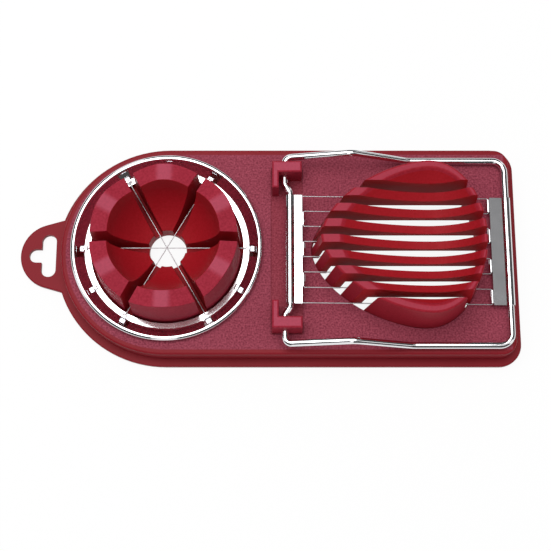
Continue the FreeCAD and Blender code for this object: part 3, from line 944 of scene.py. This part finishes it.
# %% [markdown]
# ## The ring's sheet
# The ring is pressed from sheet: a bead is rolled round its edge, a cone falls inward from it, and a
# flat lip runs round the inside. Turning a profile gives clean mirror bands, so the folds of the
# profile are rounded first and it is then spun about the cup's axis.

# %% Ring sheet
RING_Z = 11.5
RIM_CENTRE = 34.55
RIM_TUBE = 1.2
BEAD_POINTS = 24
SHEET = 0.6
CONE_RADIUS = 33.7
CONE_TOP = 11.3
LIP_TOP = 8.6
LIP_INNER = 28.6
LIP_OUTER = 31.0
FOLD_ROUND = 0.5
RING_STEPS = 180


def rolled_bead():
    """Circle of the bead's section."""
    turns = [2 * math.pi * step / BEAD_POINTS for step in range(BEAD_POINTS)]
    return [(RIM_CENTRE + RIM_TUBE * math.cos(turn), RING_Z + RIM_TUBE * math.sin(turn)) for turn in turns]


def pressed_section():
    """Section of the cone and the lip, with both sides of their fold rounded."""
    slant = SHEET * math.sqrt(0.5)
    lip_bottom = LIP_TOP - SHEET
    corners = [
        (LIP_INNER, LIP_TOP), (LIP_OUTER, LIP_TOP),
        (CONE_RADIUS, CONE_TOP), (CONE_RADIUS + slant, CONE_TOP - slant),
        (LIP_OUTER + SHEET / 2, lip_bottom), (LIP_INNER, lip_bottom),
    ]
    section = bmesh.new()
    verts = [section.verts.new((radius, 0, height)) for radius, height in corners]
    section.faces.new(verts)
    bmesh.ops.bevel(section, geom=[verts[1], verts[4]], offset=FOLD_ROUND, segments=4, profile=0.5,
                    affect="VERTICES", material=-1)
    outline = [(vert.co.x, vert.co.z) for vert in section.faces[:][0].verts]
    section.free()
    return outline


ring_bm = bmesh.new()
turned_profile(ring_bm, rolled_bead(), RING_STEPS)
turned_profile(ring_bm, pressed_section(), RING_STEPS)
bmesh.ops.recalc_face_normals(ring_bm, faces=ring_bm.faces)
print("ring sheet:", len(ring_bm.faces), "faces")

# %% [markdown]
# ## The wedge ring
# Nine small folded tabs stand on the lip: six grip the ends of the three wires and three stand between
# them. A tab is a bevelled block with a sunk top, which gives it the thin bright edges of a fold.

# %% Tabs and ring
TAB_SIZE = (1.5, 2.2, 2.0)
TAB_ROUND = 0.3
TAB_WALL = 0.28
TAB_HOLLOW = 0.45
TAB_SINK = 0.3
TAB_ANGLES = [i * 60 for i in range(6)] + [90, 210, 330]


def folded_tab():
    """A small folded tab with a sunk middle, at the lip's outer edge on +X."""
    depth, _, height = TAB_SIZE
    bm = bmesh.new()
    bmesh.ops.create_cube(bm, size=1)
    bmesh.ops.scale(bm, verts=bm.verts, vec=TAB_SIZE)
    bmesh.ops.translate(bm, verts=bm.verts, vec=(LIP_OUTER - depth / 2, 0, LIP_TOP - TAB_SINK + height / 2))
    bmesh.ops.bevel(bm, geom=bm.edges[:], offset=TAB_ROUND, segments=2, profile=0.5, affect="EDGES",
                    material=-1)
    top = [max(bm.faces, key=lambda face: face.calc_center_median().z)]
    bmesh.ops.inset_region(bm, faces=top, thickness=TAB_WALL)
    sunk = bmesh.ops.extrude_face_region(bm, geom=top)
    bmesh.ops.delete(bm, geom=top, context="FACES_ONLY")
    floor_verts = [part for part in sunk["geom"] if isinstance(part, bmesh.types.BMVert)]
    bmesh.ops.translate(bm, verts=floor_verts, vec=(0, 0, -TAB_HOLLOW))
    bmesh.ops.recalc_face_normals(bm, faces=bm.faces)
    return bm


one_tab = folded_tab()
for degrees in TAB_ANGLES:
    add_copy(ring_bm, one_tab, Matrix.Rotation(math.radians(degrees), 4, "Z"))
one_tab.free()
bmesh.ops.translate(ring_bm, verts=ring_bm.verts, vec=(CUP_X, CUP_Y, 0))
pressed_ring = soft_piece("pressed_ring", ring_bm, [CHROME], sharp_degrees=40)
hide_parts("wedge_ring")
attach(pressed_ring, "ring")
print("pressed ring:", len(pressed_ring.data.polygons), "faces")

# %% [markdown]
# ## The end
# The dressed tool has to stay inside the box of the imported model.

# %% Finish
print("boxes written")
